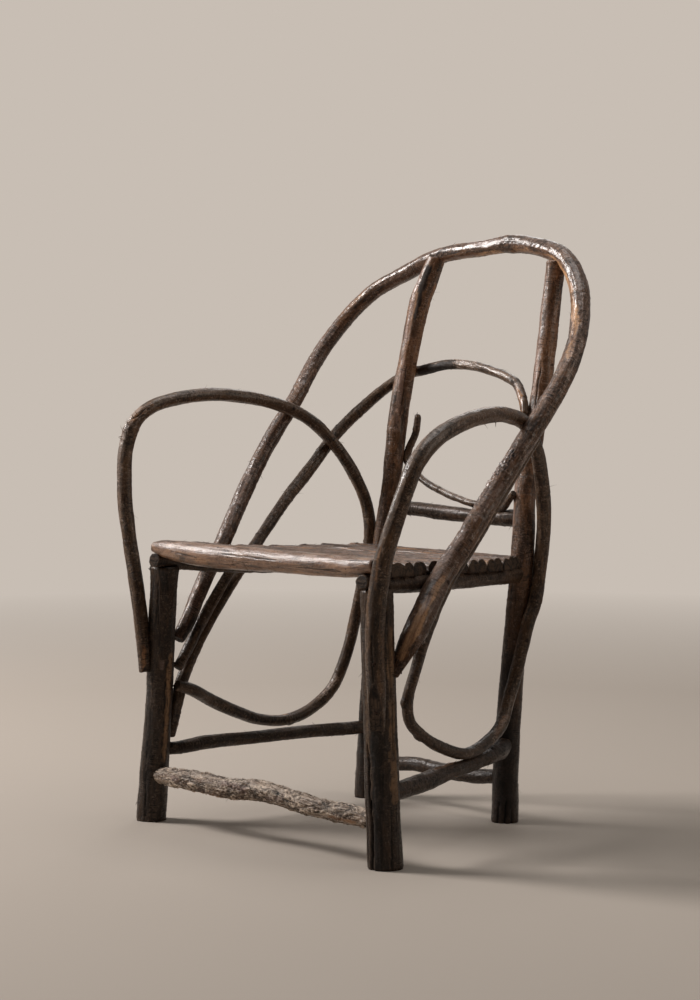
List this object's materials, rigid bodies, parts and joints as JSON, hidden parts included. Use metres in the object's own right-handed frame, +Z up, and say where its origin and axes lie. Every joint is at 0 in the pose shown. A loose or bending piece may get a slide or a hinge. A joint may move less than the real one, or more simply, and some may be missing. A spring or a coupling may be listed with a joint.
{
  "type": "twig armchair",
  "caption": "Rustic armchair of bent saplings: round posts, a seat of crosswise half-round slats, a hooped back and looped arms.",
  "frame": {"origin": "centre of the chair's outline on the floor", "axes": "+Z up, the front of the seat looks along -Y, +X towards the sitter's left"},
  "size_m": [0.602, 0.557, 0.8982],
  "materials": {
    "iron": "hand-cut iron, dark and slightly rusted",
    "seat_slats": "split wood, worn and waxed, dark brown",
    "front_pole": "barked pole, worn pale on top",
    "flaky_bark": "rough flaking bark, grey and brown",
    "rails": "barked wood, dark brown, waxed",
    "posts": "barked wood, dark brown with worn lighter streaks",
    "main_hoop": "smooth bark, dark brown, dull wax sheen",
    "saplings": "smooth bark, dark brown, dull wax sheen"
  },
  "bodies": {
    "root": {"arm_left": "saplings", "arm_right": "saplings", "back_rail": "rails", "back_twig": "saplings", "brace_right": "saplings", "brads_back": "iron", "inner_hoop": "saplings", "leg_front_left": "posts", "leg_front_right": "posts", "main_hoop": "main_hoop", "nails_frame": "iron", "nails_hoop": "iron", "nails_seat": "iron", "post_rear_left": "posts", "post_rear_right": "posts", "rail_left": "rails", "rail_right": "rails", "slat_01": "seat_slats", "slat_02": "seat_slats", "slat_03": "seat_slats", "slat_04": "seat_slats", "slat_05": "seat_slats", "slat_06": "seat_slats", "slat_07": "seat_slats", "slat_08": "seat_slats", "slat_09": "seat_slats", "slat_10": "seat_slats", "slat_11": "seat_slats", "slat_12": "seat_slats", "slat_13": "seat_slats", "slat_14": "seat_slats", "slat_front": "front_pole", "spikes_front": "iron", "stretcher_front": "flaky_bark", "stretcher_left": "rails", "stretcher_rear": "rails", "stretcher_right": "rails"}
  },
  "joints": []
}
